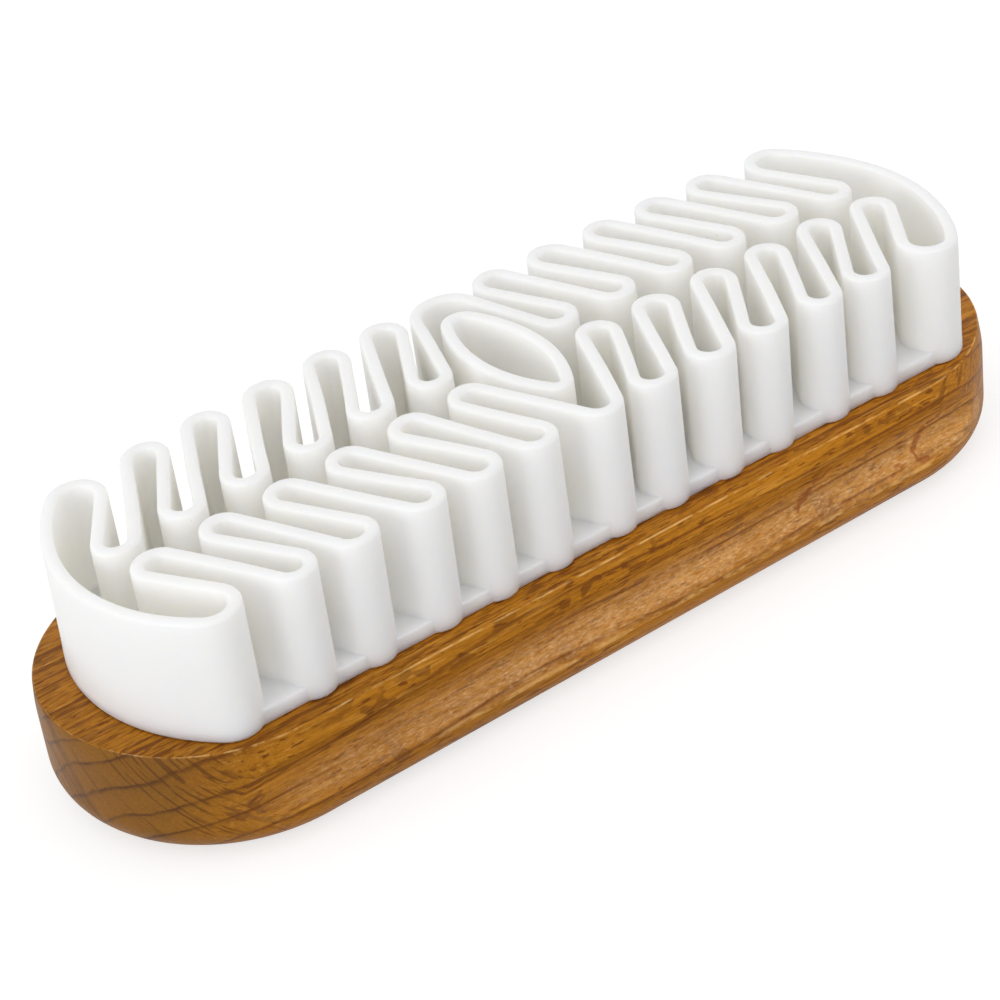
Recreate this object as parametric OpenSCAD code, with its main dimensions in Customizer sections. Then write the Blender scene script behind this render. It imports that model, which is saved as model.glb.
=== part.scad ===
// Crepe-style suede brush, lying with its rubber side up. A beech block with round ends and a finger groove
// along each long side carries one moulded rubber insert, glued to the flat seat on top of the block.
// The insert is a thin plate with one endless folded wall and a separate oval ring in the middle.
// The origin is the middle of the block's flat back, +X runs along the brush and +Z towards the rubber.

/* [Wooden block] */
// Length of the block over its round ends
block_length = 150; // [140:1:180]
// Width of the block, which is also the diameter of its round ends
block_width = 48.5; // [46:0.5:54]
// Thickness of the block from its back to the seat
block_thickness = 16.6; // [15:0.1:20]
// Radius of the rounded edge round the back
back_edge_radius = 5.4; // [3:0.1:7]
// Height of the slanted band that leads from the sides up to the seat
seat_band_height = 3; // [2.6:0.1:3.6]
// Distance that the band draws in the long sides
seat_side_inset = 1.4; // [0.8:0.1:1.8]
// Distance that the band draws in the round ends
seat_end_inset = 0.2; // [0.1:0.1:0.7]

/* [Finger grooves] */
// Depth of each finger groove below the side
groove_depth = 2.5; // [1:0.1:3]
// Radius of the hollow of the groove
groove_radius = 5.2; // [4.6:0.1:6]
// Distance from the seat down to the middle of the groove
groove_drop = 7; // [6:0.1:8]

/* [Glue] */
// Thickness of the glue film between the block and the insert
glue_thickness = 0.2; // [0.1:0.05:0.4]
// Distance that the glue film stays back from the edge of the plate
glue_setback = 0.6; // [0.3:0.1:2]

/* [Rubber plate] */
// Distance that the insert sits off the middle of the block, towards +X
insert_shift = 0.4; // [0:0.1:1]
// Thickness of the plate that the walls stand on
plate_thickness = 2.2; // [1.5:0.1:3]
// Distance that the long edges of the plate lie behind the outer folds
plate_setback = 0.8; // [0.4:0.1:1.6]
// Wooden rim left between a long side of the block and the outer folds
side_rim = 3.8; // [2.5:0.1:5]
// Wooden rim left between an end of the block and the end arch
end_rim = 5.8; // [4:0.1:8]

/* [Rubber wall] */
// Height of the wall over the plate in the middle of the brush
wall_height = 17.5; // [10:0.5:20]
// Amount by which the tops of the wall drop from the middle to the ends
crown_drop = 2; // [0:0.1:4]
// Thickness of the wall at its foot
wall_foot = 1.9; // [1.8:0.05:2.3]
// Thickness of the wall at its top
wall_top = 1.8; // [1.4:0.05:2]
// Radius of the rounded edges along the top of the wall
wall_edge = 0.55; // [0.3:0.05:0.65]

/* [Folds] */
// Number of inner folds from the middle to each end of the brush
folds = 6; // [4:1:6]
// Radius of the inner folds, measured to the middle of the wall
inner_fold_radius = 2.35; // [2:0.05:2.5]
// Radius of the outer folds, measured to the middle of the wall
outer_fold_radius = 2.5; // [2.2:0.05:2.7]
// Radius of the corner folds beside the end arches
corner_fold_radius = 3.3; // [2.8:0.1:3.8]
// Radius of the end arches
end_arch_radius = 27.6; // [24:0.2:32]
// Radius of the arch that passes round the head of the oval ring
middle_arch_radius = 4.5; // [4.2:0.1:4.8]
// Clear width of the channel between facing inner folds
channel_width = 1.7; // [1.2:0.1:3]
// Distance from the middle to the first inner fold
first_fold = 10.45; // [10:0.05:11.5]
// Sideways shift of the facing inner folds against each other, half to each
fold_shift = 0.5; // [0:0.1:0.8]

/* [Oval ring] */
// Half the width of the oval ring, measured to the middle of its wall
ring_half_width = 4.5; // [3.8:0.1:4.7]
// Radius of the long sides of the ring
ring_side_radius = 23; // [21:0.5:26]
// Distance from the widest place of the ring to its blunt head
ring_head_reach = 11.7; // [10:0.1:12]
// Distance from the widest place of the ring to its narrow tail
ring_tail_reach = 12.5; // [11:0.1:13]
// Distance from the middle line to the widest place of the ring
ring_offset = 2.1; // [1.5:0.1:2.5]

/* [Hidden] */

$fn = 96;
fold_step = 26;
longest_chord = 4;
shortest_chord = 0.02;
cut_margin = 1;
edge_bend = 45;

beech = [0.70, 0.43, 0.16];
amber = [0.85, 0.70, 0.40];
white_rubber = [0.93, 0.93, 0.90];

end_radius = block_width / 2;
end_middle = block_length / 2 - end_radius;
band_middle = end_middle + seat_side_inset - seat_end_inset;
groove_middle = block_thickness - groove_drop;
groove_axis = block_width / 2 - groove_depth + groove_radius;

plate_bottom = block_thickness + glue_thickness;
plate_top = plate_bottom + plate_thickness;
arch_reach = block_length / 2 - end_rim - wall_foot / 2;
fold_reach = block_width / 2 - side_rim - wall_foot / 2;
arch_middle = arch_reach - end_arch_radius;
plate_half_width = fold_reach + wall_foot / 2 - plate_setback;

corner_y = fold_reach - corner_fold_radius;
corner_x = arch_middle + sqrt(pow(end_arch_radius - corner_fold_radius, 2) - pow(corner_y, 2));
corner_lead = 2 * (corner_fold_radius - outer_fold_radius);
inner_pitch = (corner_x + fold_shift - first_fold) / (folds - 1);
outer_pitch = (corner_x - corner_lead) / folds;
inner_y = (channel_width + wall_foot) / 2 + inner_fold_radius;
outer_y = fold_reach - outer_fold_radius;

// A fold is [x, y, radius, bend]: the centre of the turn, its radius, and 1 for a left turn or -1 for a
// right one.
function inner_fold(i, shift) = [first_fold + (i - 1) * inner_pitch + shift, inner_y, inner_fold_radius, -1];
function outer_fold(i) = i < folds
    ? [i * outer_pitch, outer_y, outer_fold_radius, 1]
    : [corner_x, corner_y, corner_fold_radius, 1];
function quarter(shift) = [for (i = [1:folds]) each [inner_fold(i, shift), outer_fold(i)]];
function backwards(list) = [for (i = [len(list) - 1:-1:0]) list[i]];
function mirrored(list, sx, sy) = [for (f = list) [sx * f[0], sy * f[1], f[2], f[3]]];
function end_arch(side) = [side * arch_middle, 0, end_arch_radius, 1];

// The folds of the whole wall in the order in which it runs round the insert, with the middle on its left.
wall_folds = concat(
    [[0, -outer_y, outer_fold_radius, 1]],
    mirrored(quarter(fold_shift), 1, -1),
    [end_arch(1)],
    backwards(quarter(-fold_shift)),
    [[0, fold_reach - middle_arch_radius, middle_arch_radius, 1]],
    mirrored(quarter(fold_shift), -1, 1),
    [end_arch(-1)],
    backwards(mirrored(quarter(-fold_shift), -1, -1))
);

// The oval ring's two long sides are arcs, and the end turns are as large as touch both of them.
ring_side_x = ring_side_radius - ring_half_width;
function ring_end_radius(reach) =
    (pow(ring_side_x, 2) + pow(reach, 2) - pow(ring_side_radius, 2)) / (2 * (reach - ring_side_radius));
ring_head_radius = ring_end_radius(ring_head_reach);
ring_tail_radius = ring_end_radius(ring_tail_reach);
ring_folds = [
    [-ring_side_x, ring_offset, ring_side_radius, 1],
    [0, ring_offset + ring_head_reach - ring_head_radius, ring_head_radius, 1],
    [ring_side_x, ring_offset, ring_side_radius, 1],
    [0, ring_offset - ring_tail_reach + ring_tail_radius, ring_tail_radius, 1]
];

// Heading of the straight stretch that leaves fold a and touches fold b. Its lean is 1 where that stretch has
// no length, because one fold lies inside the other and touches it.
function heading(a, b) =
    let (dx = b[0] - a[0], dy = b[1] - a[1], lean = (a[3] * a[2] - b[3] * b[2]) / norm([dx, dy]))
    atan2(dy, dx) + asin(max(-1, min(1, lean)));
function turned(start, end, bend) = bend * ((bend * (end - start) % 360 + 360) % 360);
// Stations [x, y, heading] on one fold, from the heading in which the wall arrives to the one in which it
// leaves.
function fold_stations(f, arrive, leave) =
    let (
        turn = turned(arrive, leave, f[3]),
        steps = ceil(max(abs(turn) / fold_step, abs(turn) * PI / 180 * f[2] / longest_chord))
    )
    [for (k = [0:steps]) let (h = arrive + turn * k / steps)
        [f[0] + f[3] * f[2] * sin(h), f[1] - f[3] * f[2] * cos(h), h]];
function route(folds_in_order) =
    let (
        n = len(folds_in_order),
        headings = [for (i = [0:n - 1]) heading(folds_in_order[i], folds_in_order[(i + 1) % n])],
        stations = [for (i = [0:n - 1]) each
            fold_stations(folds_in_order[i], headings[(i + n - 1) % n], headings[i])],
        count = len(stations)
    )
    [for (i = [0:count - 1]) let (next = stations[(i + 1) % count], here = stations[i])
        if (norm([next[0] - here[0], next[1] - here[1]]) > shortest_chord) here];

// Height of the wall's top over the plate's underside: highest in the middle, lower towards both ends.
function crown(x) = plate_thickness + wall_height - crown_drop * pow(x / arch_reach, 2);
// The wall's section as [across, share of the crown's height, drop below it], from one foot to the other.
half_section = [
    [wall_foot / 2, 0, 0],
    [wall_top / 2, 1, wall_edge],
    [wall_top / 2 - wall_edge * (1 - cos(edge_bend)), 1, wall_edge * (1 - sin(edge_bend))],
    [wall_top / 2 - wall_edge, 1, 0]
];
wall_section = concat(half_section, [for (p = backwards(half_section)) [-p[0], p[1], p[2]]]);

function section_point(station, p) =
    let (x = station[0] + p[0] * sin(station[2]), y = station[1] - p[0] * cos(station[2]))
    [x, y, p[1] * crown(x) - p[2]];

// A wall of this section along a closed route, standing on z = 0.
module closed_wall(stations) {
    n = len(stations);
    m = len(wall_section);
    points = [for (s = stations) for (p = wall_section) section_point(s, p)];
    faces = [
        for (i = [0:n - 1]) for (j = [0:m - 1])
            let (here = i * m, next = (i + 1) % n * m, up = (j + 1) % m)
            each [[here + j, here + up, next + up], [here + j, next + up, next + j]]
    ];
    polyhedron(points, faces);
}

// The outline of the plate, drawn in all round by the given distance.
module plate_outline(inset) {
    intersection() {
        square([2 * (arch_reach + wall_foot), 2 * (plate_half_width - inset)], center = true);
        union() {
            square([2 * arch_middle, 2 * fold_reach], center = true);
            for (side = [-1, 1])
                translate([side * arch_middle, 0])
                    circle(r = end_arch_radius - inset);
        }
    }
}

// What a rounding of radius r takes off a square corner at the origin, with the material at -x and +y.
module rounding_waste(r) {
    difference() {
        translate([-r, -cut_margin])
            square([r + cut_margin, r + cut_margin]);
        translate([-r, r])
            circle(r = r);
    }
}

// Half of the block's cross-section, from its middle plane to one long side.
module block_section() {
    difference() {
        square([block_width / 2, block_thickness]);
        translate([block_width / 2, 0])
            rounding_waste(back_edge_radius);
    }
}

// Half the width of the slanted band at the given height. The band's slope runs on past both of its edges.
function band_half_width(z) =
    block_width / 2 - seat_side_inset + (block_thickness - z) * seat_side_inset / seat_band_height;

// Half of the cross-section of the space that the slanted band leaves for the block.
module band_section() {
    low = -cut_margin;
    high = block_thickness + cut_margin;
    polygon([[0, low], [band_half_width(low), low], [band_half_width(high), high], [0, high]]);
}

// A body with round ends, from half of its cross-section. The ends turn round points at the given distance
// from the middle.
module round_ended(turning_point) {
    rotate([90, 0, 90])
        translate([0, 0, -turning_point])
            linear_extrude(2 * turning_point)
                union() {
                    children();
                    mirror([1, 0])
                        children();
                }
    for (side = [-1, 1])
        translate([side * turning_point, 0, 0])
            rotate([0, 0, -side * 90])
                rotate_extrude(angle = 180)
                    children();
}

module wooden_block() {
    color(beech)
        difference() {
            intersection() {
                round_ended(end_middle)
                    block_section();
                round_ended(band_middle)
                    band_section();
            }
            for (side = [-1, 1])
                translate([-block_length / 2 - cut_margin, side * groove_axis, groove_middle])
                    rotate([0, 90, 0])
                        cylinder(r = groove_radius, h = block_length + 2 * cut_margin);
        }
}

module glue_film() {
    color(amber)
        translate([insert_shift, 0, block_thickness])
            linear_extrude(glue_thickness)
                plate_outline(glue_setback);
}

module rubber_insert() {
    color(white_rubber)
        translate([insert_shift, 0, plate_bottom])
            union() {
                linear_extrude(plate_thickness)
                    plate_outline(0);
                closed_wall(route(wall_folds));
                closed_wall(route(ring_folds));
            }
}

wooden_block();
glue_film();
rubber_insert();
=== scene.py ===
# %% [markdown]
# # A suede brush: wooden block and folded rubber insert
# The brush lifts the nap of suede. A beech block with round ends and a finger groove along each side is the
# handle. On its flat seat sits a white rubber insert, moulded as one endless folded wall on a thin plate.
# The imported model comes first. It fixes each size and place, in metres, and every new piece is fitted to it.
# All of it is deselected at once, because Blender's operators act on whatever is selected.

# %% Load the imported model
import math
import random
import bmesh
import bpy
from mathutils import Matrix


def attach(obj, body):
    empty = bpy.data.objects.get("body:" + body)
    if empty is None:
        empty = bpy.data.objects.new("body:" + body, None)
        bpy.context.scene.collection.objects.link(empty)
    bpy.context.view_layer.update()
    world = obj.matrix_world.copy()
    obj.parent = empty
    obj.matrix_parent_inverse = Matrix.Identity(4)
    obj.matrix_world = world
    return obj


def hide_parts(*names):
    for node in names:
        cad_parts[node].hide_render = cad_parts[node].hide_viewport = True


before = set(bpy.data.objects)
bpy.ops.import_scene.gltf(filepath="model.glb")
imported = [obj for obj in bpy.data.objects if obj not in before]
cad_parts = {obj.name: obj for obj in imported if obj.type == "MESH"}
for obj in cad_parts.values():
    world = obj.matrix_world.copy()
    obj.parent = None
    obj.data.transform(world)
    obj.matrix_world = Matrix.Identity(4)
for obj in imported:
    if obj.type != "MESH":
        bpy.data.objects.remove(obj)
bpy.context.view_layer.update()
bpy.ops.object.select_all(action="DESELECT")
MM = 0.001
print("nodes:", sorted(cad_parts))

# %% [markdown]
# ## The camera
# The photo is taken from the near left, a little over 30 degrees above the table, with a long lens. Place,
# angles and lens were fitted to the outline of the block and to the tops of the folds. The camera also leans
# by a few degrees to its side, which the middle angle holds, and that is why no tracking helper is used.

# %% Camera at the photo's viewing angle
bpy.ops.object.camera_add(
    location=(-0.18620, -0.28910, 0.24866),
    rotation=(math.radians(55.380), math.radians(6.572), math.radians(-36.581)),
)
camera = bpy.context.object
camera.name = "photo_camera"
camera.data.lens = 109.9
camera.data.sensor_width = 36
camera.data.clip_start = 0.01
bpy.context.scene.camera = camera
print("camera at", [round(c, 3) for c in camera.location], "lens", round(camera.data.lens, 1))

# %% [markdown]
# ## Tools for node trees
# By hand, nodes are added, set and wired with the mouse. These functions do it in one line each, and a
# socket gets either a number or a wire from another node. The floor, the world and all finishes use them.

# %% Tools for node trees


def add_node(tree, kind, settings=None, inputs=None):
    """Adds a shader node, sets its options, and fills its sockets with numbers or links."""
    made = tree.nodes.new(kind)
    for key, value in (settings or {}).items():
        setattr(made, key, value)
    for key, value in (inputs or {}).items():
        if isinstance(value, bpy.types.NodeSocket):
            tree.links.new(value, made.inputs[key])
        else:
            made.inputs[key].default_value = value
    return made


def math_node(tree, operation, a, b=0.0):
    """One step of arithmetic."""
    return add_node(tree, "ShaderNodeMath", {"operation": operation}, {0: a, 1: b}).outputs[0]


def vector_node(tree, operation, a, b=(0, 0, 0), output="Vector"):
    """One step of arithmetic with vectors."""
    return add_node(tree, "ShaderNodeVectorMath", {"operation": operation}, {0: a, 1: b}).outputs[output]


def product(tree, *masks):
    """Multiplies masks, so that only what all of them let through stays."""
    made = masks[0]
    for mask in masks[1:]:
        made = math_node(tree, "MULTIPLY", made, mask)
    return made


print("nodes can be added, and their values and masks combined")

# %% Tools for colours


def mix_colour(tree, share, a, b, blend="MIX"):
    """Mixes colour b into colour a."""
    made = tree.nodes.new("ShaderNodeMix")
    made.data_type = "RGBA"
    made.blend_type = blend
    for key, value in ((0, share), (6, a), (7, b)):
        if isinstance(value, bpy.types.NodeSocket):
            tree.links.new(value, made.inputs[key])
        else:
            made.inputs[key].default_value = value
    return made.outputs[2]


def stain(tree, under, mask, share, tint):
    """Lays a colour over another one, as strongly as the mask times the share says."""
    return mix_colour(tree, math_node(tree, "MULTIPLY", mask, share), under, (*tint, 1))


def ramp(tree, value, stops):
    """A colour ramp with the given stops, each (place, grey or colour)."""
    made = tree.nodes.new("ShaderNodeValToRGB")
    tree.links.new(value, made.inputs["Fac"])
    marks = made.color_ramp.elements
    while len(marks) < len(stops):
        marks.new(0.5)
    for mark, (place, colour) in zip(marks, stops):
        mark.position = place
        mark.color = (colour, colour, colour, 1) if isinstance(colour, (int, float)) else (*colour, 1)
    return made.outputs["Color"]


print("colours can be mixed, laid over each other and read from a ramp")

# %% [markdown]
# ## Table and light
# The photo's background is plain white. A floor that is white only because it is flooded with light would
# bleach the rubber, so the floor is an ordinary pale surface, and glows a little only where the camera sees
# it. It still shows the soft shadow under the block. Light Path tells the rays that the camera sees, straight
# or by a reflection or through glass, from those that light the brush.

# %% Floor


def seen_by_camera(tree):
    """1 for rays that the camera sees straight, in a reflection or through glass, and 0 for all others."""
    path = add_node(tree, "ShaderNodeLightPath").outputs
    seen = math_node(tree, "MAXIMUM", path["Is Camera Ray"], path["Is Glossy Ray"])
    return math_node(tree, "MAXIMUM", seen, path["Is Transmission Ray"])


floor_grey = 0.58
floor_grey_seen = 0.46
floor_glow = 0.66
bpy.ops.mesh.primitive_plane_add(size=8, location=(0, 0, -0.02 * MM))
floor = bpy.context.object
floor.name = "floor"
bpy.ops.object.transform_apply(location=True, rotation=True, scale=True)
paper = bpy.data.materials.new("white_paper")
paper.use_nodes = True
tree = paper.node_tree
tree.nodes.clear()
pale = add_node(tree, "ShaderNodeBsdfDiffuse", inputs={"Color": (floor_grey, floor_grey, floor_grey, 1)})
dim = add_node(tree, "ShaderNodeBsdfDiffuse", inputs={
    "Color": (floor_grey_seen, floor_grey_seen, floor_grey_seen, 1),
})
glow = add_node(tree, "ShaderNodeEmission", inputs={"Color": (1, 1, 1, 1), "Strength": floor_glow})
lit = add_node(tree, "ShaderNodeAddShader", inputs={0: dim.outputs[0], 1: glow.outputs[0]})
mixed = add_node(tree, "ShaderNodeMixShader", inputs={
    "Fac": seen_by_camera(tree), 1: pale.outputs[0], 2: lit.outputs[0],
})
add_node(tree, "ShaderNodeOutputMaterial", inputs={"Surface": mixed.outputs[0]})
floor.data.materials.append(paper)
print("floor glows for the camera with strength", floor_glow)

# %% [markdown]
# The room is white all round and a little dimmer for the brush than for the camera. One wide lamp stands low
# on the left, so that the folds shade each other softly. Light reaches the bottom of the white pockets only
# after many bounces, so twelve diffuse bounces are allowed in place of Blender's usual four.

# %% World and lamp
room_light = 0.88
world = bpy.data.worlds.new("white_room")
bpy.context.scene.world = world
world.use_nodes = True
tree = world.node_tree
strength = add_node(tree, "ShaderNodeMapRange", inputs={
    "Value": seen_by_camera(tree), "To Min": room_light, "To Max": 1.0,
})
room = tree.nodes["Background"]
room.inputs["Color"].default_value = (1, 1, 1, 1)
tree.links.new(strength.outputs[0], room.inputs["Strength"])
bpy.context.scene.view_settings.view_transform = "Standard"
bpy.context.scene.cycles.diffuse_bounces = 12

bpy.ops.object.light_add(type="SUN", location=(-0.93, -0.22, 0.22))
key_light = bpy.context.object
key_light.name = "key_light"
key_light.data.energy = 0.92
key_light.data.angle = math.radians(34)
key_light.rotation_euler = key_light.location.to_track_quat("Z", "Y").to_euler()
print("key light low on the left, as wide as", round(math.degrees(key_light.data.angle)), "degrees")

# %% [markdown]
# ## Choosing by place
# By hand, faces and edges are picked with the mouse. In a script they are picked by where they lie, so one
# helper selects, in edit mode, what passes a test. The others change the mode, make a piece the active one,
# apply a modifier, and finish a piece. Places that differ by less than the tolerance count as the same, and
# vertices closer than the merge distance become one.

# %% Picking by place
tolerance = 0.01 * MM
merge_distance = 0.001 * MM


def choose(kind, test):
    """In edit mode, selects the vertices, edges or faces of the active piece that pass the test."""
    bpy.ops.mesh.select_mode(type=kind)
    bpy.ops.mesh.select_all(action="DESELECT")
    mesh = bmesh.from_edit_mesh(bpy.context.object.data)
    lists = {"VERT": mesh.verts, "EDGE": mesh.edges, "FACE": mesh.faces}
    found = [part for part in lists[kind] if test(part)]
    for part in found:
        part.select_set(True)
    bmesh.update_edit_mesh(bpy.context.object.data)
    return len(found)


def in_mode(mode):
    """Goes to edit or object mode."""
    bpy.ops.object.mode_set(mode=mode)


print("places count as the same within", round(tolerance / MM, 3), "mm")

# %% Working on one piece


def take(piece):
    """Makes a piece the only selected one and the active one."""
    bpy.ops.object.select_all(action="DESELECT")
    piece.select_set(True)
    bpy.context.view_layer.objects.active = piece


def shape_with(piece, kind, settings):
    """Adds a modifier to a piece, sets it and applies it."""
    take(piece)
    made = piece.modifiers.new(kind.lower(), kind)
    for key, value in settings.items():
        setattr(made, key, value)
    bpy.ops.object.modifier_apply(modifier=made.name)


def put_in_order(piece):
    """Numbers vertices, edges and faces by where they lie, since a Boolean may number them anew each run."""
    mesh = bmesh.new()
    mesh.from_mesh(piece.data)
    rank = {v: n for n, v in enumerate(sorted(mesh.verts, key=lambda v: tuple(v.co)))}
    for parts in (mesh.edges, mesh.faces):
        ordered = sorted(parts, key=lambda part: sorted(rank[v] for v in part.verts))
        number = {part: n for n, part in enumerate(ordered)}
        parts.sort(key=number.get)
    mesh.verts.sort(key=rank.get)
    mesh.to_mesh(piece.data)
    mesh.free()


print("a piece can be made the active one, get a modifier and be numbered by place")

# %% Finishing a piece


def settle(piece, name, smooth_below=40, merge=merge_distance):
    """Names a finished piece, merges doubles, turns its faces outwards and smooths all but its edges."""
    piece.name = name
    piece.data.name = name
    in_mode("EDIT")
    bpy.ops.mesh.select_mode(type="VERT")
    bpy.ops.mesh.select_all(action="SELECT")
    bpy.ops.mesh.remove_doubles(threshold=merge)
    bpy.ops.mesh.normals_make_consistent(inside=False)
    bpy.ops.mesh.select_all(action="DESELECT")
    in_mode("OBJECT")
    bpy.ops.object.shade_smooth_by_angle(angle=math.radians(smooth_below))
    print(name, "has", len(piece.data.vertices), "vertices and", len(piece.data.polygons), "faces")
    return piece


print("vertices closer than", round(merge_distance / MM, 4), "mm become one")

# %% [markdown]
# ## The wooden block
# The real block is sawn from a beech board, its outline is milled, and a cutter with a round nose runs along
# each side for the fingertips. The model follows the same steps: a round disc is pulled apart into a block
# with round ends, its edges are rounded by bevels, and two long cylinders cut the grooves away. The groove
# runs out by itself where the ends turn away from the cutter, as on the real block.

# %% Sizes of the block, in metres
block_length = 150 * MM
block_width = 48.5 * MM
block_thickness = 16.6 * MM
back_edge_radius = 5.4 * MM
seat_band_height = 3 * MM
seat_side_inset = 1.4 * MM
seat_end_inset = 0.2 * MM
band_foot_rounding = 1.0 * MM
seat_edge_rounding = 0.22 * MM
lip_rounding = 0.35 * MM
lip_angle = math.radians(14)
groove_depth = 2.5 * MM
groove_radius = 5.2 * MM
groove_height = block_thickness - 7 * MM
end_radius = block_width / 2
end_middle = block_length / 2 - end_radius
groove_axis = end_radius - groove_depth + groove_radius
print("ends turn round points", round(end_middle / MM, 2), "mm from the middle")

# %% Disc pulled apart into a block
steps_round = 192
band_foot = block_thickness - seat_band_height
bpy.ops.mesh.primitive_cylinder_add(
    vertices=steps_round,
    radius=end_radius,
    depth=band_foot,
    location=(0, 0, band_foot / 2),
    rotation=(0, 0, math.pi / steps_round),
)
block = bpy.context.object
bpy.ops.object.transform_apply(location=True, rotation=True, scale=True)
in_mode("EDIT")
for side in (-1, 1):
    choose("VERT", lambda v: v.co.x * side > 0)
    bpy.ops.transform.translate(value=(side * end_middle, 0, 0))
print("the block's outline stands", round(band_foot / MM, 1), "mm high")

# %% [markdown]
# The seat is narrower than the block: above the grooves the long sides slope in by 1.4 mm, and the ends by
# much less. The top face is pushed up and drawn in round the middle of each end, and then each half moves
# outwards a little, which is what leaves the ends nearly upright. The back gets its large rounding, the
# foot of the slope a soft one, and the edge of the seat stays crisp, as it is on a block sanded face by face.

# %% Slanted band, rounded back and crisp seat edge
choose("FACE", lambda f: f.calc_center_median().z > band_foot - tolerance)
bpy.ops.mesh.extrude_region_move(TRANSFORM_OT_translate={"value": (0, 0, seat_band_height)})
draw_in = 1 - seat_side_inset / end_radius
for side in (-1, 1):
    choose("VERT", lambda v: v.co.z > block_thickness - tolerance and v.co.x * side > 0)
    bpy.ops.transform.resize(value=(draw_in, draw_in, 1), center_override=(side * end_middle, 0, 0))
    bpy.ops.transform.translate(value=(side * (seat_side_inset - seat_end_inset), 0, 0))
on_back = choose("EDGE", lambda e: all(v.co.z < tolerance for v in e.verts))
bpy.ops.mesh.bevel(offset=back_edge_radius, segments=14, profile=0.5, affect="EDGES")
on_band = choose("EDGE", lambda e: all(abs(v.co.z - band_foot) < tolerance for v in e.verts))
bpy.ops.mesh.bevel(offset=band_foot_rounding, segments=4, profile=0.5, affect="EDGES")
on_seat = choose("EDGE", lambda e: all(v.co.z > block_thickness - tolerance for v in e.verts))
bpy.ops.mesh.bevel(offset=seat_edge_rounding, segments=3, profile=0.5, affect="EDGES")
in_mode("OBJECT")
print("edges rounded:", on_back, "on the back,", on_band, "under the band and", on_seat, "on the seat")

# %% [markdown]
# A Boolean leaves razor edges where the cutter came out of the wood. Hands and sandpaper take these off, so
# the two lips of each groove get a small bevel of their own. They are found as edges whose two faces meet at
# a clear angle, as far from the cutter's axis as its radius. A Boolean may also number the mesh anew each
# time, so the mesh is put in order first, and the block comes out the same in every run.

# %% Finger grooves and their lips
for side in (-1, 1):
    bpy.ops.mesh.primitive_cylinder_add(
        vertices=96,
        radius=groove_radius,
        depth=block_length + 4 * MM,
        location=(0, side * groove_axis, groove_height),
        rotation=(0, math.pi / 2, 0),
    )
    cutter = bpy.context.object
    shape_with(block, "BOOLEAN", {"operation": "DIFFERENCE", "solver": "EXACT", "object": cutter})
    bpy.data.objects.remove(cutter)
put_in_order(block)


def is_lip(edge):
    """Tells whether an edge is one where a groove's round wall breaks through the skin of the block."""
    if len(edge.link_faces) != 2 or edge.calc_face_angle(0) < lip_angle:
        return False
    middle = (edge.verts[0].co + edge.verts[1].co) / 2
    from_axis = math.hypot(abs(middle.y) - groove_axis, middle.z - groove_height)
    return abs(from_axis - groove_radius) < 5 * tolerance


in_mode("EDIT")
lips = choose("EDGE", is_lip)
bpy.ops.mesh.bevel(offset=lip_rounding, segments=3, profile=0.5, affect="EDGES", clamp_overlap=True)
in_mode("OBJECT")
settle(block, "beech_block", smooth_below=32, merge=tolerance)
print("lip edges rounded:", lips)

# %% [markdown]
# ## Beech
# Wood is solid right through, so its pattern is a solid one, and not a picture wrapped round the block. It
# lives in a frame of its own: x along the grain, y along the growth rings and z across them. On this block
# the rings lean, so the frame is turned by a Mapping node. The pattern is built up like the wood itself:
# growth rings, then streaks and rays, then what the cutter and the hand did to the surface.

# %% A frame along the grain
beech = bpy.data.materials.new("oiled_beech")
beech.use_nodes = True
tree = beech.node_tree
wood = tree.nodes["Principled BSDF"]
where = add_node(tree, "ShaderNodeTexCoord")
ring_lean = math.radians(37.7)
grain = add_node(tree, "ShaderNodeMapping", inputs={
    "Vector": where.outputs["Object"],
    "Rotation": (ring_lean, 0, 0),
    "Scale": (1 / MM, 1 / MM, 1 / MM),
}).outputs[0]


def grain_noise(scale, detail=2.0, roughness=0.5, offset=(0, 0, 0)):
    """Noise that is stretched by its own amount along each axis of the grain, in waves per millimetre."""
    stretched = add_node(tree, "ShaderNodeMapping", inputs={
        "Vector": grain, "Scale": scale, "Location": offset,
    })
    noise = add_node(tree, "ShaderNodeTexNoise", inputs={
        "Vector": stretched.outputs[0], "Scale": 1.0, "Detail": detail, "Roughness": roughness,
    })
    return noise.outputs["Fac"]


def wave(reach, scale, detail):
    """Noise that swings evenly to both sides of zero."""
    swing = math_node(tree, "MULTIPLY_ADD", grain_noise(scale, detail), reach)
    swing.node.inputs[2].default_value = -reach / 2
    return swing


print("the growth rings lean by", round(math.degrees(ring_lean), 1), "degrees")

# %% [markdown]
# The rings are large tubes round the pith, which lay far outside this board. The distance from it, over the
# ring spacing, numbers the rings. Each goes from pale early wood to a dark edge of late wood and has a tint
# of its own. They show as long streaks on the sides and as slanted lines on the ends.

# %% Growth rings
pith_distance = 95.0
ring_spacing = 3.9
from_pith = add_node(tree, "ShaderNodeMapping", inputs={
    "Vector": grain, "Scale": (0, 1, 1), "Location": (0, 6, pith_distance),
}).outputs[0]
pith_gap = vector_node(tree, "LENGTH", from_pith, output="Value")
rings_from_pith = math_node(tree, "DIVIDE", pith_gap, ring_spacing)
bending = math_node(tree, "ADD", wave(2.6, (0.012, 0.05, 0.05), 1.0), wave(0.22, (0.05, 0.4, 0.4), 2.0))
ring_number = math_node(tree, "ADD", rings_from_pith, bending)
in_ring = math_node(tree, "FRACT", ring_number)
ring_tint = add_node(tree, "ShaderNodeTexWhiteNoise", {"noise_dimensions": "1D"}, {
    "W": math_node(tree, "FLOOR", ring_number),
}).outputs["Value"]
late_wood = ramp(tree, in_ring, [
    (0.0, 0.40), (0.04, 0.0), (0.60, 0.0), (0.84, 0.18), (0.93, 0.60), (0.965, 1.0), (1.0, 0.80),
])
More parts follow.
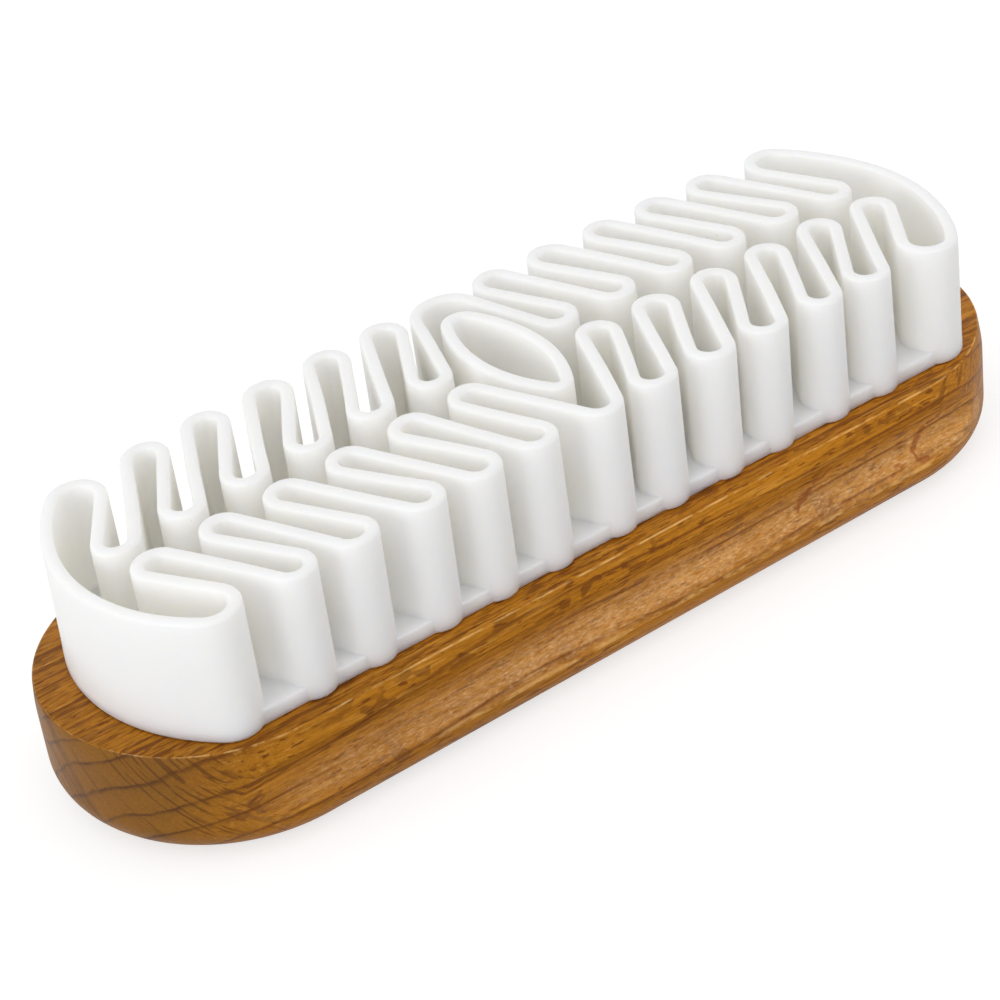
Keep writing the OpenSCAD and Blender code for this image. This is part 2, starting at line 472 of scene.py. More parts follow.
broken = ramp(tree, grain_noise((0.09, 0.35, 0.35), 3.0, 0.6, (4, 1, 9)), [(0.38, 0.45), (0.60, 1.0)])
early = (0.435, 0.172, 0.010)
late = (0.150, 0.044, 0.002)
colour = mix_colour(tree, product(tree, late_wood, broken), (*early, 1), (*late, 1))
colour = stain(tree, colour, ring_tint, 0.24, (0.28, 0.098, 0.010))
print("rings every", ring_spacing, "mm")

# %% [markdown]
# Streaks, flecks and pores run along the grain, so on the ends they are cut across and all but vanish. Rays
# are thin sheets across the rings: they show as dark lines on the ends and as short dashes on the seat. The
# normal tells which way a face looks.

# %% Patches, streaks and flecks
facing = add_node(tree, "ShaderNodeSeparateXYZ", inputs={0: where.outputs["Normal"]}).outputs
end_grain = ramp(tree, math_node(tree, "ABSOLUTE", facing["X"]), [(0.30, 0.0), (0.75, 1.0)])
long_grain = math_node(tree, "SUBTRACT", 1.0, math_node(tree, "MULTIPLY", end_grain, 0.85))
patches = ramp(tree, grain_noise((0.03, 0.09, 0.09), 3.0, 0.6, (7, 3, 1)), [(0.35, 0.0), (0.65, 1.0)])
colour = stain(tree, colour, patches, 0.24, (0.27, 0.095, 0.008))
streaks = ramp(tree, grain_noise((0.055, 1.5, 1.5), 3.0, 0.6, (5, 8, 2)), [(0.50, 0.0), (0.62, 1.0)])
colour = stain(tree, colour, product(tree, streaks, long_grain), 0.45, (0.185, 0.055, 0.002))
pale_streaks = ramp(tree, grain_noise((0.07, 1.9, 1.9), 2.0, 0.6, (9, 1, 4)), [(0.56, 0.0), (0.68, 1.0)])
colour = stain(tree, colour, product(tree, pale_streaks, long_grain), 0.40, (0.62, 0.31, 0.065))
flecks = ramp(tree, grain_noise((0.34, 2.6, 1.7), 2.0, 0.55), [(0.60, 0.0), (0.66, 1.0)])
flecks = product(tree, flecks, long_grain)
colour = stain(tree, colour, flecks, 0.75, (0.130, 0.030, 0.002))
print("patches, streaks and flecks lie over the rings")

# %% Rays and pores
bundles = ramp(tree, grain_noise((0.05, 0.20, 0.04), 1.0, 0.5, (5, 11, 9)), [(0.40, 0.0), (0.56, 1.0)])
rays = ramp(tree, grain_noise((0.30, 2.3, 0.055), 1.0, 0.5, (1, 5, 7)), [(0.555, 0.0), (0.61, 1.0)])
colour = stain(tree, colour, product(tree, rays, bundles), 0.64, (0.120, 0.032, 0.003))
pores = ramp(tree, grain_noise((0.45, 7.0, 7.0), 1.0, 0.5, (2, 4, 6)), [(0.56, 0.0), (0.70, 1.0)])
pores = product(tree, pores, long_grain)
colour = stain(tree, colour, pores, 0.38, (0.11, 0.028, 0.002))
on_seat = ramp(tree, facing["Z"], [(0.85, 0.0), (0.97, 1.0)])
dashes = ramp(tree, grain_noise((0.16, 1.7, 1.7), 2.0, 0.55, (3, 2, 9)), [(0.54, 0.0), (0.60, 1.0)])
colour = stain(tree, colour, product(tree, dashes, on_seat), 0.62, (0.130, 0.034, 0.002))
print("rays, pores and the seat's dashes follow")

# %% [markdown]
# The round cutter tears the wood a little on the half of the groove that faces up, which leaves a fine
# mottle, frayed specks and reddish flaws. That half also faces the light, so it is painted paler and pinkish
# there, which is painted light, while the half that faces down stays smooth and golden. A mask picks that
# strip by its level on the block, as a share of the thickness, and by its distance from the brush's middle.

# %% Frayed wood and painted light in the lower half of the grooves
place = add_node(tree, "ShaderNodeSeparateXYZ", inputs={0: where.outputs["Object"]}).outputs
level = math_node(tree, "DIVIDE", place["Z"], block_thickness)
strip_low, strip_high = 0.305, 0.68
side_depth = 4 * MM
in_strip = ramp(tree, level, [(strip_low, 0.0), (0.36, 0.9), (0.46, 0.9), (0.56, 0.45), (strip_high, 0.0)])
along = math_node(tree, "ADD", math_node(tree, "DIVIDE", place["X"], block_length), 0.5)
not_on_end = ramp(tree, along, [
    (0.07, 0.0), (0.18, 0.6), (0.35, 1.0), (0.86, 1.0), (0.93, 0.75), (0.99, 0.0),
])
from_middle = math_node(tree, "ABSOLUTE", place["Y"])
on_side = math_node(tree, "GREATER_THAN", from_middle, end_radius - side_depth)
strip = product(tree, in_strip, not_on_end, on_side)
mottle = ramp(tree, grain_noise((0.55, 1.7, 1.7), 5.0, 0.75, (6, 6, 1)), [(0.34, 0.20), (0.58, 1.0)])
fuzz = grain_noise((1.3, 3.8, 3.8), 3.0, 0.6, (2, 2, 5))
mottle = product(tree, mottle, ramp(tree, fuzz, [(0.36, 0.55), (0.54, 1.0)]))
# painted light: the half of the groove that faces up is painted paler and pinkish, over its real mottle
torn_and_lit = product(tree, strip, mottle)
colour = stain(tree, colour, torn_and_lit, 0.82, (0.66, 0.375, 0.175))
frayed = product(tree, torn_and_lit, ramp(tree, fuzz, [(0.58, 0.0), (0.68, 0.40)]))
colour = stain(tree, colour, frayed, 1.0, (0.90, 0.66, 0.46))
flaws = ramp(tree, grain_noise((0.40, 1.3, 1.3), 1.0, 0.5, (4, 4, 2)), [(0.67, 0.0), (0.73, 0.6)])
colour = stain(tree, colour, product(tree, flaws, strip), 1.0, (0.27, 0.068, 0.018))
strip_in_mm = [round(share * block_thickness / MM, 1) for share in (strip_low, strip_high)]
print("torn strip between", strip_in_mm, "mm above the table")

# %% [markdown]
# Two scars near the right end are marks of this one board: a hook, and a slanting stroke. Each is a chain of
# straight strokes, given by their ends and half widths. The distance to a stroke makes its mask, and a little
# noise in the position keeps its edge ragged.

# %% Two healed scars on the near side
SCARS = [
    ((55.3, 10.5), (52.9, 9.9), 0.20), ((51.9, 9.5), (50.5, 8.5), 0.46), ((50.5, 8.5), (49.3, 7.2), 0.42),
    ((49.3, 7.2), (49.5, 6.1), 0.20), ((49.5, 6.1), (51.1, 5.7), 0.38),
    ((34.6, 11.3), (31.8, 10.3), 0.36), ((30.8, 9.5), (29.0, 8.5), 0.52), ((29.0, 8.5), (28.2, 7.6), 0.28),
]


def healed_scar(position, start, end, half_width):
    """A soft stroke between two places (x, z) on the side of the block, in millimetres."""
    run = (end[0] - start[0], 0, end[1] - start[1])
    from_start = vector_node(tree, "SUBTRACT", position, (start[0], 0, start[1]))
    reach = vector_node(tree, "DOT_PRODUCT", from_start, run, "Value")
    share = math_node(tree, "DIVIDE", reach, run[0] ** 2 + run[2] ** 2)
    share.node.use_clamp = True
    nearest = add_node(tree, "ShaderNodeVectorMath", {"operation": "SCALE"}, {0: run, "Scale": share})
    gap = vector_node(tree, "DISTANCE", from_start, nearest.outputs[0], "Value")
    return ramp(tree, math_node(tree, "DIVIDE", gap, 3 * half_width), [(0.0, 1.0), (0.22, 0.9), (0.45, 0.0)])


ragged = add_node(tree, "ShaderNodeTexNoise", inputs={"Vector": grain, "Scale": 0.9, "Detail": 3.0})
ragged = vector_node(tree, "SUBTRACT", ragged.outputs["Color"], (0.5, 0.5, 0.5))
seen_from_side = vector_node(tree, "MULTIPLY", where.outputs["Object"], (1 / MM, 0, 1 / MM))
seen_from_side = vector_node(tree, "ADD", seen_from_side, ragged)
seen_from_side = vector_node(tree, "MULTIPLY", seen_from_side, (1, 0, 1))
scarred = 0.0
for start, end, half_width in SCARS:
    scarred = math_node(tree, "MAXIMUM", healed_scar(seen_from_side, start, end, half_width), scarred)
near_side = math_node(tree, "LESS_THAN", place["Y"], -end_radius / 2)
colour = stain(tree, colour, product(tree, scarred, near_side), 0.72, (0.25, 0.062, 0.010))
print("scars drawn with", len(SCARS), "strokes")

# %% [markdown]
# The sharp edge of a ring comes through here and there as a thin dark stroke. The edge of the seat and the
# lower lip of the groove are worn pale in places, and the pale line there is partly a painted highlight, where
# these rounded edges catch the light. The whole block is painted a little paler towards +X, which is painted
# light, since the light falls brighter on that end.

# %% Ring edges, worn and highlighted edges, and painted light towards +X
stroke = ramp(tree, in_ring, [(0.0, 0.5), (0.05, 0.0), (0.89, 0.0), (0.955, 1.0), (1.0, 0.7)])
here_and_there = grain_noise((0.06, 0.30, 0.30), 2.0, 0.6, (1, 7, 3))
here_and_there = ramp(tree, here_and_there, [(0.43, 0.0), (0.53, 0.75)])
colour = stain(tree, colour, product(tree, stroke, here_and_there, long_grain), 1.0, (0.16, 0.047, 0.006))
seat_edge_depth = 0.6 * MM
slanting = ramp(tree, facing["Z"], [(0.52, 0.0), (0.64, 1.0), (0.94, 1.0), (0.99, 0.0)])
close_to_seat = math_node(tree, "GREATER_THAN", place["Z"], block_thickness - seat_edge_depth)
seat_edge = product(tree, slanting, close_to_seat)
lower_lip = ramp(tree, level, [(0.285, 0.0), (0.300, 1.0), (0.315, 1.0), (0.330, 0.0)])
# painted highlight and wear: a pale line on the seat's edge and on the groove's lower lip
wear_and_highlight = math_node(tree, "MAXIMUM", seat_edge, product(tree, lower_lip, not_on_end))
patchy = ramp(tree, grain_noise((0.28, 0.8, 0.8), 3.0, 0.6, (3, 3, 8)), [(0.44, 0.05), (0.60, 1.0)])
colour = stain(tree, colour, product(tree, wear_and_highlight, patchy, long_grain), 0.65, (0.72, 0.43, 0.17))
# painted light: the block is painted paler towards +X, where the light falls brighter
drift = grain_noise((0.012, 0.05, 0.05), 1.0, 0.5, (3, 9, 5))
board = product(tree, along, 0.8)
board = math_node(tree, "ADD", board, product(tree, drift, 0.4))
paler = ramp(tree, board, [(0.26, 0.0), (0.62, 0.90), (0.90, 1.0)])
painted_lit_colour = mix_colour(tree, 1.0, colour, (1.30, 1.27, 1.12, 1), "MULTIPLY")
colour = mix_colour(tree, paler, colour, painted_lit_colour)
print("the board gets paler towards +X")

# %% [markdown]
# End grain drinks more oil, so it is darker and greyer, and the edges of the rings stand out on it. Over all
# lies a silky shimmer of very fine fibres.

# %% Colour of the end grain
ring_edge = ramp(tree, in_ring, [(0.0, 0.45), (0.06, 0.0), (0.86, 0.0), (0.95, 1.0), (1.0, 0.60)])
greyer = mix_colour(tree, 1.0, colour, (0.58, 0.59, 0.78, 1), "MULTIPLY")
greyer = mix_colour(tree, 0.12, greyer, (0.26, 0.15, 0.065, 1))
greyer = stain(tree, greyer, product(tree, ring_edge, broken), 0.66, (0.085, 0.034, 0.010))
# painted light: the end grain stays less grey towards +X, with the paler painted light there
less_grey = math_node(tree, "SUBTRACT", 1.0, math_node(tree, "MULTIPLY", paler, 0.45))
colour = mix_colour(tree, product(tree, end_grain, less_grey), colour, greyer)
silk = ramp(tree, grain_noise((0.9, 3.4, 3.4), 3.0, 0.7, (7, 7, 2)), [(0.34, 0.80), (0.66, 1.0)])
colour = mix_colour(tree, 1.0, colour, silk, "MULTIPLY")
colour = mix_colour(tree, 1.0, colour, (1.10, 1.10, 1.06, 1), "MULTIPLY")
tree.links.new(colour, wood.inputs["Base Color"])
print("end grain is greyer where faces look along X")

# %% Relief and sheen of the wood
pore_dents = math_node(tree, "MULTIPLY", pores, -0.5)
fleck_dents = math_node(tree, "MULTIPLY", flecks, -0.3)
dents = math_node(tree, "ADD", pore_dents, fleck_dents)
worn = grain_noise((0.12, 0.8, 0.8), 3.0, 0.6, (11, 2, 8))
relief = math_node(tree, "ADD", dents, math_node(tree, "MULTIPLY", worn, 1.2))
bump = add_node(tree, "ShaderNodeBump", inputs={"Height": relief, "Strength": 0.35, "Distance": 0.12 * MM})
tree.links.new(bump.outputs["Normal"], wood.inputs["Normal"])
gloss = add_node(tree, "ShaderNodeMapRange", inputs={"Value": worn, "To Min": 0.34, "To Max": 0.52})
tree.links.new(gloss.outputs[0], wood.inputs["Roughness"])
wood.inputs["Specular IOR Level"].default_value = 0.10
block.data.materials.append(beech)
print("beech is on", block.name)

# %% [markdown]
# ## The rubber plate
# All folds stand on a thin plate. Its ends follow the two end arches, and its long edges are cut back a
# little behind the outer folds, so the folds' feet bulge past it. It starts as a disc that is pulled apart,
# as the block did, and two straight cuts make the long edges. Its top edge is rounded by the mould.

# %% Sizes of the insert, in metres
glue_thickness = 0.2 * MM
insert_shift = 0.4 * MM
plate_thickness = 2.2 * MM
plate_setback = 0.8 * MM
side_rim = 3.8 * MM
end_rim = 5.8 * MM
wall_height = 17.5 * MM
crown_drop = 2 * MM
wall_foot = 1.9 * MM
wall_top = 1.8 * MM
end_arch_radius = 27.6 * MM
plate_edge_rounding = 0.35 * MM
wall_edge_rounding = 0.55 * MM
plate_bottom = block_thickness + glue_thickness
plate_top = plate_bottom + plate_thickness
arch_reach = block_length / 2 - end_rim - wall_foot / 2
fold_reach = block_width / 2 - side_rim - wall_foot / 2
arch_middle = arch_reach - end_arch_radius
plate_half_width = fold_reach + wall_foot / 2 - plate_setback
print("plate from", round(plate_bottom / MM, 1), "to", round(plate_top / MM, 1), "mm above the table")

# %% Plate
plate_steps_round = 256
bpy.ops.mesh.primitive_cylinder_add(
    vertices=plate_steps_round,
    radius=end_arch_radius,
    depth=plate_thickness,
    location=(0, 0, plate_bottom + plate_thickness / 2),
    rotation=(0, 0, math.pi / plate_steps_round),
)
plate = bpy.context.object
bpy.ops.object.transform_apply(location=True, rotation=True, scale=True)
in_mode("EDIT")
for side in (-1, 1):
    choose("VERT", lambda v: v.co.x * side > 0)
    bpy.ops.transform.translate(value=(side * arch_middle, 0, 0))
for side in (-1, 1):
    bpy.ops.mesh.select_all(action="SELECT")
    bpy.ops.mesh.bisect(
        plane_co=(0, side * plate_half_width, 0), plane_no=(0, side, 0), clear_outer=True, use_fill=True
    )
choose("EDGE", lambda e: all(v.co.z > plate_top - tolerance for v in e.verts))
bpy.ops.mesh.bevel(offset=plate_edge_rounding, segments=4, profile=0.5, affect="EDGES")
bpy.ops.mesh.select_all(action="SELECT")
bpy.ops.transform.translate(value=(insert_shift, 0, 0))
in_mode("OBJECT")
settle(plate, "rubber_plate", smooth_below=50)

# %% [markdown]
# ## The route of the folded wall
# Seen from above, the wall is a belt that runs round a row of pegs: each fold is a circle, and straight
# stretches touch two circles in a row. So the route is a list of folds, each with its middle, its radius and
# whether the wall turns left or right round it. One quarter of the brush holds six inner and six outer folds,
# and the other three quarters are its mirror images, shifted a little so that facing folds don't quite meet.
# On the real insert the near outer folds don't stand in an even row. Each drifts by some tenths of a
# millimetre, and the list of drifts was measured in the photo, from the middle of the left half to the right.

# %% The list of folds
folds = 6
inner_radius = 2.35 * MM
outer_radius = 2.5 * MM
corner_radius = 3.3 * MM
middle_arch_radius = 4.5 * MM
channel_width = 1.7 * MM
first_fold = 10.45 * MM
fold_shift = 0.5 * MM
corner_y = fold_reach - corner_radius
corner_x = arch_middle + math.sqrt((end_arch_radius - corner_radius) ** 2 - corner_y ** 2)
inner_pitch = (corner_x + fold_shift - first_fold) / (folds - 1)
outer_pitch = (corner_x - 2 * (corner_radius - outer_radius)) / folds
inner_y = (channel_width + wall_foot) / 2 + inner_radius
outer_y = fold_reach - outer_radius
LEFT, RIGHT = 1, -1


def quarter(shift):
    """Folds of the far right quarter, from the middle of the brush to its end: (x, y, radius, turn)."""
    made = []
    for i in range(1, folds + 1):
        made.append((first_fold + (i - 1) * inner_pitch + shift, inner_y, inner_radius, RIGHT))
        if i < folds:
            made.append((i * outer_pitch, outer_y, outer_radius, LEFT))
        else:
            made.append((corner_x, corner_y, corner_radius, LEFT))
    return made


def mirrored(some_folds, sx, sy):
    """The same folds in another quarter: sx and sy are 1, or -1 to mirror along that axis."""
    return [(sx * x, sy * y, radius, turn) for x, y, radius, turn in some_folds]


right_arch = (arch_middle, 0, end_arch_radius, LEFT)
left_arch = (-arch_middle, 0, end_arch_radius, LEFT)
far_arch = (0, fold_reach - middle_arch_radius, middle_arch_radius, LEFT)
near_tip = (0, -outer_y, outer_radius, LEFT)
wall_folds = [
    right_arch,
    *reversed(quarter(-fold_shift)),
    far_arch,
    *mirrored(quarter(fold_shift), -1, 1),
    left_arch,
    *reversed(mirrored(quarter(-fold_shift), -1, -1)),
    near_tip,
    *mirrored(quarter(fold_shift), 1, -1),
]
near_drift = (0.28, -0.08, 0.60, 0.17, -0.33, 0.70, 0.08, 0.08, -0.55, 0.0, -0.65)


def drifted(fold):
    """Moves a near outer fold along the brush by its own drift, and leaves all others."""
    x, y, radius, turn = fold
    if y > 0 or radius != outer_radius:
        return fold
    return x + near_drift[round(x / outer_pitch) + folds - 1] * MM, y, radius, turn


wall_folds = [drifted(fold) for fold in wall_folds]
print("the wall passes", len(wall_folds), "folds")

# %% [markdown]
# The oval ring in the middle is a belt too. Its long sides are two large arcs, and its blunt head and narrow
# tail are turns that touch both, so their radii follow from how far they reach.

# %% The ring's four arcs
ring_half_width = 4.5 * MM
ring_side_radius = 23 * MM
ring_offset = 2.1 * MM
ring_side_x = ring_side_radius - ring_half_width


def ring_turn(reach):
    """Radius of the turn that touches both side arcs and reaches that far from the ring's middle."""
    return (ring_side_x ** 2 + reach ** 2 - ring_side_radius ** 2) / (2 * (reach - ring_side_radius))


head_reach, tail_reach = 11.7 * MM, 12.5 * MM
ring_folds = [
    (-ring_side_x, ring_offset, ring_side_radius, LEFT),
    (0, ring_offset + head_reach - ring_turn(head_reach), ring_turn(head_reach), LEFT),
    (ring_side_x, ring_offset, ring_side_radius, LEFT),
    (0, ring_offset - tail_reach + ring_turn(tail_reach), ring_turn(tail_reach), LEFT),
]
print("head and tail turn with", [round(ring_turn(r) / MM, 2) for r in (head_reach, tail_reach)], "mm")

# %% [markdown]
# ## The wall's section
# The wall is a little thinner at its top than at its foot, its top is rounded, and its foot widens a little
# and is drawn in again at the glue. The section is drawn once, upright, where the route crosses the brush's
# middle line and heads straight across it. A plane is tapered, its lower edge is pulled down in steps, each
# given as (drop, widening on each side) in millimetres, and the two top corners are rounded. The faces then
# go, because only the outline is swept. Its foot ends just above the plate's underside, so that the union
# further down meets no doubled faces.

# %% Section of the wall
wall_rise = plate_thickness + wall_height
foot_lift = 0.02 * MM
FOOT_STEPS = [(0.50, 0.00), (1.30, 0.05), (1.20, 0.00), (0.30, -0.12)]


def draw_section(x, y):
    """Makes the outline of the wall's section across the X axis, at the given place."""
    foot_height = sum(drop for drop, widen in FOOT_STEPS) * MM
    low = plate_bottom + foot_lift + foot_height
    high = plate_bottom + wall_rise
    middle = (x, y, (low + high) / 2)
    bpy.ops.mesh.primitive_plane_add(size=1, location=middle, rotation=(math.pi / 2, 0, 0))
    piece = bpy.context.object
    bpy.ops.object.transform_apply(location=True, rotation=True, scale=True)
    in_mode("EDIT")
    bpy.ops.transform.resize(value=(wall_foot, 1, high - low), center_override=middle)
    choose("VERT", lambda v: v.co.z > middle[2])
    bpy.ops.transform.resize(value=(wall_top / wall_foot, 1, 1), center_override=middle)
    choose("EDGE", lambda e: all(v.co.z < low + tolerance for v in e.verts))
    width = wall_foot
    for drop, widen in FOOT_STEPS:
        bpy.ops.mesh.extrude_region_move(TRANSFORM_OT_translate={"value": (0, 0, -drop * MM)})
        bpy.ops.transform.resize(value=((width + 2 * widen * MM) / width, 1, 1), center_override=middle)
        width += 2 * widen * MM
    bpy.ops.mesh.select_all(action="SELECT")
    bpy.ops.mesh.dissolve_faces(use_verts=False)
    choose("VERT", lambda v: v.co.z > high - tolerance)
    bpy.ops.mesh.bevel(offset=wall_edge_rounding, segments=5, profile=0.5, affect="VERTICES")
    bpy.ops.mesh.select_all(action="SELECT")
    bpy.ops.mesh.delete(type="ONLY_FACE")
    in_mode("OBJECT")
    return piece


print("the section is", round(wall_rise / MM, 1), "mm high, with its foot in the plate")

# %% [markdown]
# ## Sweeping the section
# Spin turns the section round each fold's middle, and an extrusion pushes it along the straight stretch to
# the next fold, in short steps, so that the wall can be bent a little afterwards. In a script without a
# window, Spin turns clockwise for a positive angle, so a left turn is given a negative one. The last step
# arrives where the section stood, and the two ends are merged.

# %% Courses and runs


def heading(a, b):
    """Heading of the straight stretch that leaves fold a and touches fold b."""
    dx, dy = b[0] - a[0], b[1] - a[1]
    lean = (a[3] * a[2] - b[3] * b[2]) / math.hypot(dx, dy)
    return math.atan2(dy, dx) + math.asin(max(-1.0, min(1.0, lean)))


def on_fold(fold, course):
    """The point of a fold at which the wall heads along the given course."""
    x, y, radius, turn = fold
    return x + turn * radius * math.sin(course), y - turn * radius * math.cos(course)


def fresh_run(runs):
    """Lifts the last outline off the wall as a new run, because long meshes make operators slow."""
    bpy.ops.mesh.duplicate()
    bpy.ops.mesh.separate(type="SELECTED")
    in_mode("OBJECT")
    run = [o for o in bpy.context.selected_objects if o != runs[-1]][0]
    take(run)
    in_mode("EDIT")
    bpy.ops.mesh.select_all(action="SELECT")
    return run


leaving = round(math.degrees(heading(wall_folds[0], wall_folds[1])))
print("the wall leaves the right arch with a heading of", leaving, "degrees")

# %% Sweep along the folds
longest_turn_step = 1.6 * MM
longest_push = 1.8 * MM
folds_per_run = 6


def sweep(some_folds, start_course, turn_step, name):
    """Sweeps the section along the belt that runs round the given folds, and closes it."""
    start = on_fold(some_folds[0], start_course)
    runs = [draw_section(*start)]
    courses = [heading(f, some_folds[(i + 1) % len(some_folds)]) for i, f in enumerate(some_folds)]
    in_mode("EDIT")
    bpy.ops.mesh.select_all(action="SELECT")
    course = start_course
    for i in range(len(some_folds) + 1):
        fold = some_folds[i % len(some_folds)]
        leave = courses[i] if i < len(some_folds) else start_course
        angle = fold[3] * ((fold[3] * (leave - course)) % math.tau)
        steps = max(2, math.ceil(max(abs(angle) / turn_step, abs(angle) * fold[2] / longest_turn_step)))
        bpy.ops.mesh.spin(steps=steps, angle=-angle, center=(fold[0], fold[1], 0), axis=(0, 0, 1))
        course = leave
        if i < len(some_folds):
            here = on_fold(fold, course)
            there = on_fold(some_folds[(i + 1) % len(some_folds)], course)
            gap = (there[0] - here[0], there[1] - here[1], 0)
            if math.hypot(*gap) > 2 * tolerance:
                pushes = max(1, round(math.hypot(*gap) / longest_push))
                bpy.ops.mesh.extrude_repeat(steps=pushes, offset=[c / pushes for c in gap], scale_offset=1.0)
        if i % folds_per_run == folds_per_run - 1:
            runs.append(fresh_run(runs))
    in_mode("OBJECT")
    for run in runs:
        run.select_set(True)
    bpy.context.view_layer.objects.active = runs[0]
    bpy.ops.object.join()
    return settle(runs[0], name, smooth_below=60)


folded_wall = sweep(wall_folds, math.pi / 2, math.radians(14), "folded_wall")
oval_ring = sweep(ring_folds, math.pi / 2, math.radians(10), "oval_ring")

# %% [markdown]
# ## The crown
# The tops of the folds aren't level: the middle of the brush stands about 2 mm higher than its ends. By hand
# that is done with a lattice, a cage round the whole wall. Its upper points are pulled down, more and more
# towards the ends, and the walls follow. They are also pushed about by up to a third of a millimetre, since
# soft rubber never stands quite straight. The lower corners of the cage move outwards a little, because the
# two end arches stand with a wider foot. The cage is applied and removed.

# %% Lattice that lowers both ends
bpy.ops.object.add(type="LATTICE", location=(0, 0, plate_bottom + wall_rise / 2))
cage = bpy.context.object
cage_half_length = arch_reach + 2 * MM
arch_foot_spread = 0.6 * MM
cage.scale = (2 * cage_half_length, block_width, wall_rise)
cage.data.points_u = 17
cage.data.points_v = 5
cage.data.points_w = 2
cage.data.interpolation_type_u = "KEY_CATMULL_ROM"
cage.data.interpolation_type_w = "KEY_LINEAR"
uneven = random.Random(5)
uneven_x, uneven_y = 0.35, 0.30
end_of_cage = 0.49
for point in cage.data.points:
    if point.co.z > 0:
        x = point.co.x * 2 * cage_half_length
        point.co_deform.z = point.co.z - crown_drop * (x / arch_reach) ** 2 / wall_rise
        point.co_deform.x = point.co.x + uneven.uniform(-uneven_x, uneven_x) * MM / (2 * cage_half_length)
        point.co_deform.y = point.co.y + uneven.uniform(-uneven_y, uneven_y) * MM / block_width
    elif abs(point.co.x) > end_of_cage:
        point.co_deform.x = point.co.x + math.copysign(arch_foot_spread / (2 * cage_half_length), point.co.x)
for piece in (folded_wall, oval_ring):
    shape_with(piece, "LATTICE", {"object": cage})
    heights = [v.co.z / MM for v in piece.data.vertices]
    print(piece.name, "stands from", round(min(heights), 2), "to", round(max(heights), 2), "mm")
    in_mode("EDIT")
    bpy.ops.mesh.select_all(action="SELECT")
    bpy.ops.transform.translate(value=(insert_shift, 0, 0))
    in_mode("OBJECT")
bpy.data.objects.remove(cage)

# %% [markdown]
# ## One skin
# Plate, wall and ring come out of the mould as one piece. If they only overlapped, light that wanders inside
# the rubber would stop at the buried faces and leave dark lines where they meet. A Boolean union gives them
# one skin, and a bevel fills the corner between each wall and the plate, as the fillet of the mould does. It
# stops short of the plate's rounded rim, where the edges of the two would cross.

# %% Union of plate, wall and ring
insert = plate
for part in (folded_wall, oval_ring):
    shape_with(insert, "BOOLEAN", {"operation": "UNION", "solver": "EXACT", "object": part})
    bpy.data.objects.remove(part)
print("plate, wall and ring are one mesh with", len(insert.data.vertices), "vertices")

# %% Fillet between the walls and the plate
corner_fillet = 0.3 * MM
corner_angle = math.radians(60)
rim_left_out = 0.45 * MM
fillet_reach = plate_half_width - rim_left_out


def is_inner_corner(edge):
    """Tells whether an edge lies where a wall stands on the plate."""
    if len(edge.link_faces) != 2 or edge.calc_face_angle_signed(0) > -corner_angle:
        return False
    return all(abs(v.co.z - plate_top) < tolerance and abs(v.co.y) < fillet_reach for v in edge.verts)


in_mode("EDIT")
bpy.ops.mesh.select_mode(type="VERT")
bpy.ops.mesh.select_all(action="SELECT")
bpy.ops.mesh.remove_doubles(threshold=merge_distance)
corners = choose("EDGE", is_inner_corner)
bpy.ops.mesh.bevel(offset=corner_fillet, segments=3, profile=0.5, affect="EDGES", clamp_overlap=False)
in_mode("OBJECT")
settle(insert, "folded_insert", smooth_below=50)
print("inner corner edges rounded:", corners)

# %% [markdown]
# ## White rubber
# The rubber is nearly white and a little see-through, so light wanders some millimetres inside it: thin
# walls glow, and deep pockets turn warm. Subsurface scattering does that. Moulded rubber has a soft sheen.
# Tiny dark specks of dirt and a faint yellow stain show that it is crepe rubber and not plastic. The specks
# are the middles of Voronoi cells, and only some cells show theirs.

# %% Rubber material
rubber = bpy.data.materials.new("white_crepe_rubber")
rubber.use_nodes = True
tree = rubber.node_tree
skin = tree.nodes["Principled BSDF"]
where = add_node(tree, "ShaderNodeTexCoord")
in_mm = add_node(tree, "ShaderNodeMapping", inputs={
    "Vector": where.outputs["Object"], "Scale": (1 / MM, 1 / MM, 1 / MM),
}).outputs[0]
cloudy = add_node(tree, "ShaderNodeTexNoise", inputs={"Vector": in_mm, "Scale": 0.08, "Detail": 3.0})
tint = ramp(tree, cloudy.outputs["Fac"], [(0.30, (0.964, 0.957, 0.930)), (0.70, (0.956, 0.945, 0.902))])
spots = add_node(
    tree, "ShaderNodeTexVoronoi", {"feature": "F1"}, {"Vector": in_mm, "Scale": 0.22, "Randomness": 1.0}
)
chances = add_node(tree, "ShaderNodeSeparateColor", inputs={0: spots.outputs["Color"]}).outputs
reach = math_node(tree, "DIVIDE", spots.outputs["Distance"], math_node(tree, "ADD", chances[1], 0.25))
speck = ramp(tree, reach, [(0.0, 1.0), (0.030, 0.5), (0.055, 0.0)])
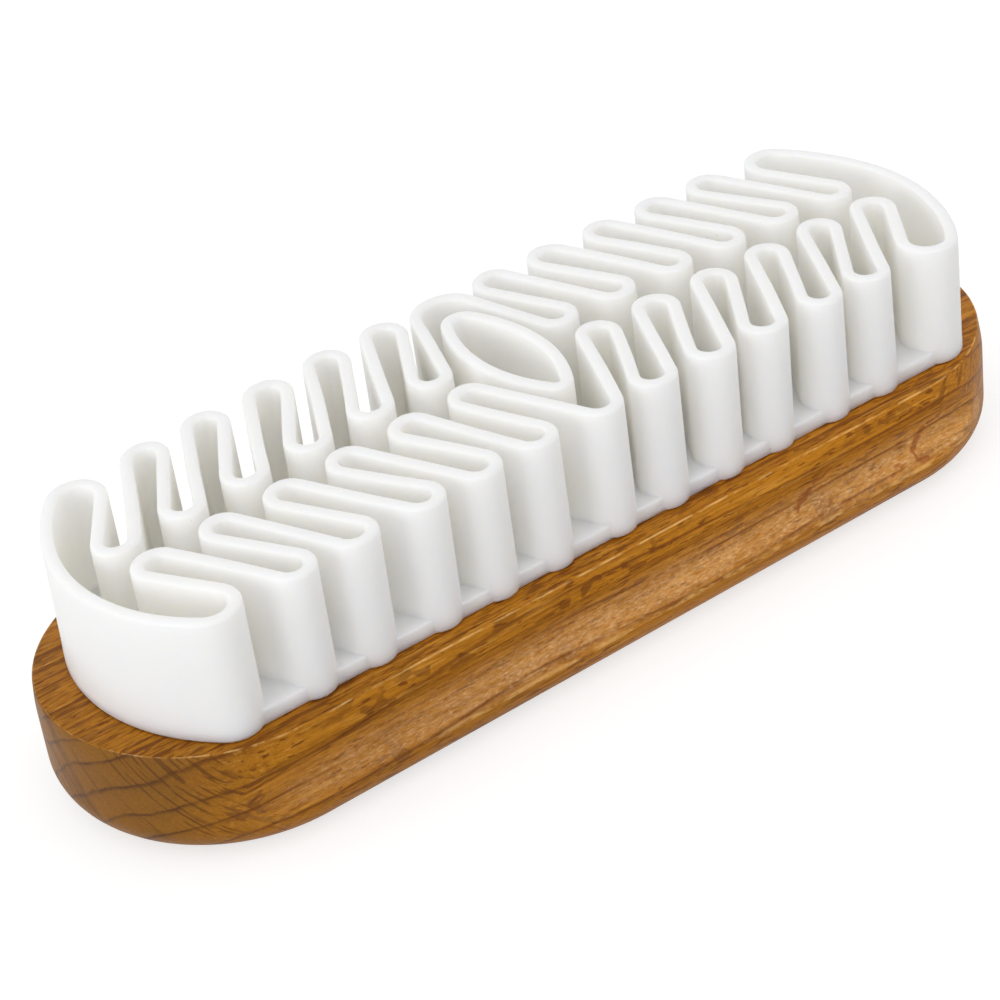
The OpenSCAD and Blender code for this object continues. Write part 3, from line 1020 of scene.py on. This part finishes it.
some = ramp(tree, chances[0], [(0.62, 0.0), (0.92, 0.85)])
tint = stain(tree, tint, speck, some, (0.30, 0.24, 0.17))
tree.links.new(tint, skin.inputs["Base Color"])
skin.inputs["Roughness"].default_value = 0.42
skin.inputs["Specular IOR Level"].default_value = 0.45
skin.inputs["Subsurface Weight"].default_value = 0.9
skin.inputs["Subsurface Radius"].default_value = (1.0, 0.92, 0.75)
skin.inputs["Subsurface Scale"].default_value = 5.5 * MM
grainy = add_node(tree, "ShaderNodeTexNoise", inputs={"Vector": in_mm, "Scale": 1.1, "Detail": 3.0})
bump = add_node(tree, "ShaderNodeBump", inputs={
    "Height": grainy.outputs["Fac"], "Strength": 0.25, "Distance": 0.05 * MM,
})
tree.links.new(bump.outputs["Normal"], skin.inputs["Normal"])
insert.data.materials.clear()
insert.data.materials.append(rubber)
print("rubber is on", insert.name)

# %% [markdown]
# ## The glue film
# The film between wood and rubber shows only as a hair line at the seam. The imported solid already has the
# right place and thickness, so it stays and gets a streaky amber finish with a gloss.

# %% Glue material
amber = bpy.data.materials.new("amber_glue")
amber.use_nodes = True
tree = amber.node_tree
resin = tree.nodes["Principled BSDF"]
where = add_node(tree, "ShaderNodeTexCoord")
streaks = add_node(tree, "ShaderNodeTexNoise", inputs={
    "Vector": where.outputs["Object"], "Scale": 160.0, "Detail": 3.0,
}).outputs["Fac"]
honey = ramp(tree, streaks, [(0.35, (0.70, 0.50, 0.22)), (0.65, (0.84, 0.70, 0.42))])
tree.links.new(honey, resin.inputs["Base Color"])
resin.inputs["Roughness"].default_value = 0.30
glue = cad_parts["glue_film"]
glue.data.materials.clear()
glue.data.materials.append(amber)
print("glue stays as", glue.name)

# %% [markdown]
# ## Riding on the body
# Each new piece rides on the brush's one body, and the imported node that it stands for is hidden. The box of
# the dressed brush is compared with the imported one, because the looks may not change a
# size.

# %% Ride and replace
for piece, node, finish in (
    (block, "wooden_block", "block"),
    (insert, "rubber_insert", "insert"),
):
    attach(piece, "root")
    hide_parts(node)
